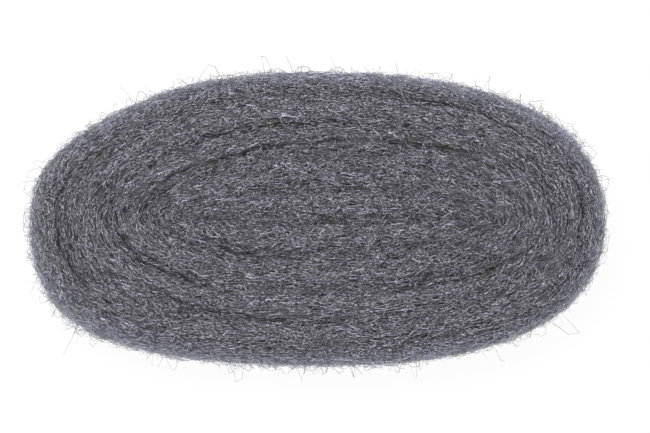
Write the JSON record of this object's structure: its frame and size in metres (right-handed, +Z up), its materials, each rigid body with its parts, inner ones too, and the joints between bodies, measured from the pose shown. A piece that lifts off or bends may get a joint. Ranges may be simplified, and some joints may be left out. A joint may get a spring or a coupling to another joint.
{
  "type": "steel wool pad",
  "caption": "Oval scouring pad: one ribbon of steel wool wound edge up in a flat spiral round a short fold, with a feathered outer tail.",
  "frame": {"origin": "middle of the lower face that the pad lies on", "axes": "+X along the oval, +Y across it, +Z up out of the upper spiral face"},
  "size_m": [0.1144, 0.058, 0.026],
  "materials": {
    "steel_wool": "fine shaved mild steel fibres, dry and bright, dark grey in the mass with a light fuzz at the rim"
  },
  "bodies": {
    "root": {"wound_wool": "steel_wool"}
  },
  "joints": []
}
